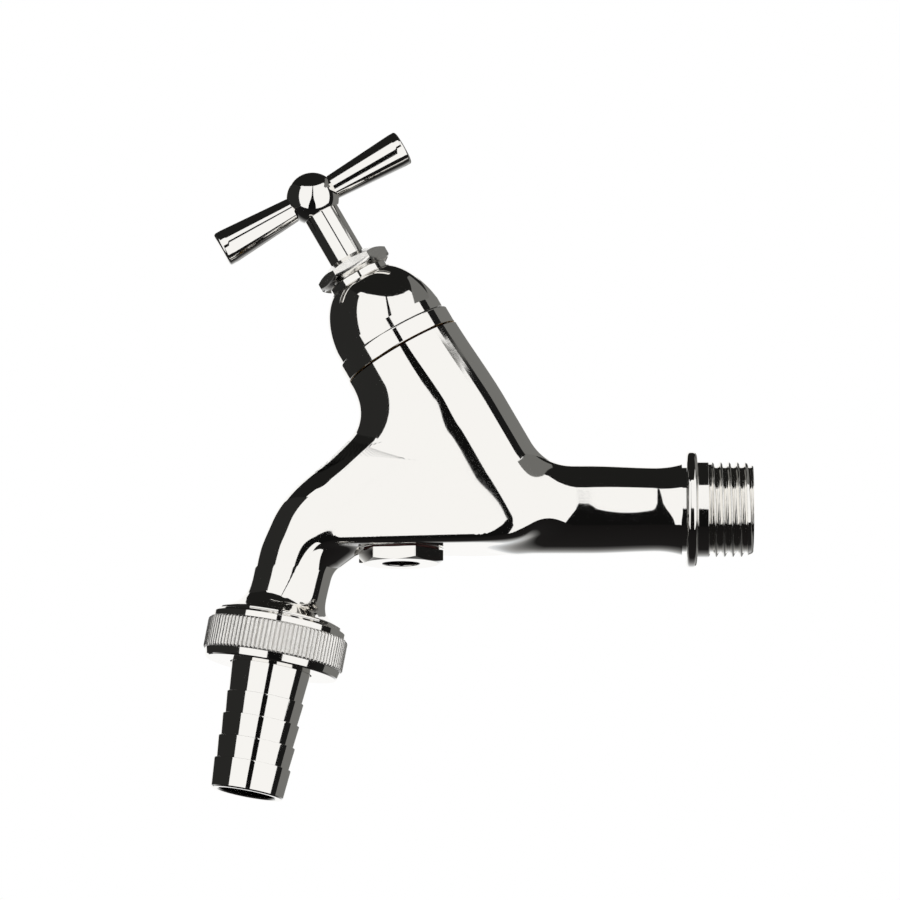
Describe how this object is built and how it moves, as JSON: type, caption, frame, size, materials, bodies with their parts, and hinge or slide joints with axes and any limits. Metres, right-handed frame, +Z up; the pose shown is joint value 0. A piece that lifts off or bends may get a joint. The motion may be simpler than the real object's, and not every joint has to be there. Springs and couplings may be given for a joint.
{
  "type": "bib tap",
  "caption": "Slanted wall bib tap with tee handle and screw-down valve, domed head cover, air inlet plug under the spout, and a knurled union nut holding a barbed hose tail",
  "frame": {"origin": "centre of the inlet flange's back face, on the inlet axis, where the tap meets the wall", "axes": "+X out of the inlet thread into the wall, +Z up, +Y away from the camera of the picture; the spout points to -X and the tap is symmetric about Y = 0 apart from the grub screw, the turn of the plug's hexagon and the threads"},
  "size_m": [0.1192, 0.0308, 0.1469],
  "materials": {
    "chrome_plated_brass": "brass castings and turned parts, polished and chrome plated",
    "bare_brass": "turned, unplated",
    "black_rubber": "moulded, matt",
    "red_fibre": "pressed fibre, matt",
    "white_plastic": "white low-friction plastic",
    "steel_screw": "stainless steel, machined"
  },
  "bodies": {
    "valve_body": {"tap_body": "chrome_plated_brass", "bonnet": "bare_brass", "bonnet_gasket": "red_fibre", "dome_cover": "chrome_plated_brass", "gland_packing": "white_plastic", "gland_ring": "bare_brass", "gland_nut": "chrome_plated_brass", "vent_plug": "chrome_plated_brass", "vent_gasket": "red_fibre", "vent_seal_ring": "black_rubber", "vent_cage": "bare_brass"},
    "jumper": {"valve_plate": "bare_brass", "seat_washer": "black_rubber", "washer_screw": "bare_brass"},
    "handle": {"spindle": "chrome_plated_brass", "jumper_clip": "bare_brass", "handle_hub": "chrome_plated_brass", "handle_arm_left": "chrome_plated_brass", "handle_arm_right": "chrome_plated_brass", "handle_grub_screw": "steel_screw"},
    "washer_carrier": {"hose_washer": "black_rubber"},
    "nut": {"union_nut": "chrome_plated_brass"},
    "tail": {"hose_tail": "chrome_plated_brass"},
    "air_disc": {"vent_disc": "white_plastic"}
  },
  "joints": [
    {"name": "valve_lift", "type": "slide", "parent": "valve_body", "child": "jumper", "axis": [-0.5, 0, 0.866], "range_m": [0, 0.005]},
    {"name": "handle_turn", "type": "hinge", "parent": "jumper", "child": "handle", "pos_m": [-0.044, 0, 0], "axis": [-0.5, 0, 0.866], "range_deg": [0, 720]},
    {"name": "tail_drop", "type": "slide", "parent": "valve_body", "child": "washer_carrier", "axis": [-0.1857, 0, -0.9826], "range_m": [0, 0.00453]},
    {"name": "union_nut_turn", "type": "hinge", "parent": "washer_carrier", "child": "nut", "pos_m": [-0.09146, 0, -0.02986], "axis": [-0.1857, 0, -0.9826], "range_deg": [0, 900]},
    {"name": "hose_tail_swivel", "type": "hinge", "parent": "washer_carrier", "child": "tail", "pos_m": [-0.09146, 0, -0.02986], "axis": [-0.1857, 0, -0.9826], "range_deg": [-180, 180]},
    {"name": "air_disc_lift", "type": "slide", "parent": "valve_body", "child": "air_disc", "axis": [0, 0, 1], "range_m": [0, 0.0013]}
  ],
  "couplings": [
    {"joint": "handle_turn", "follows": "valve_lift", "rad_per_m": 2513.3},
    {"joint": "union_nut_turn", "follows": "tail_drop", "rad_per_m": 3463.7}
  ]
}
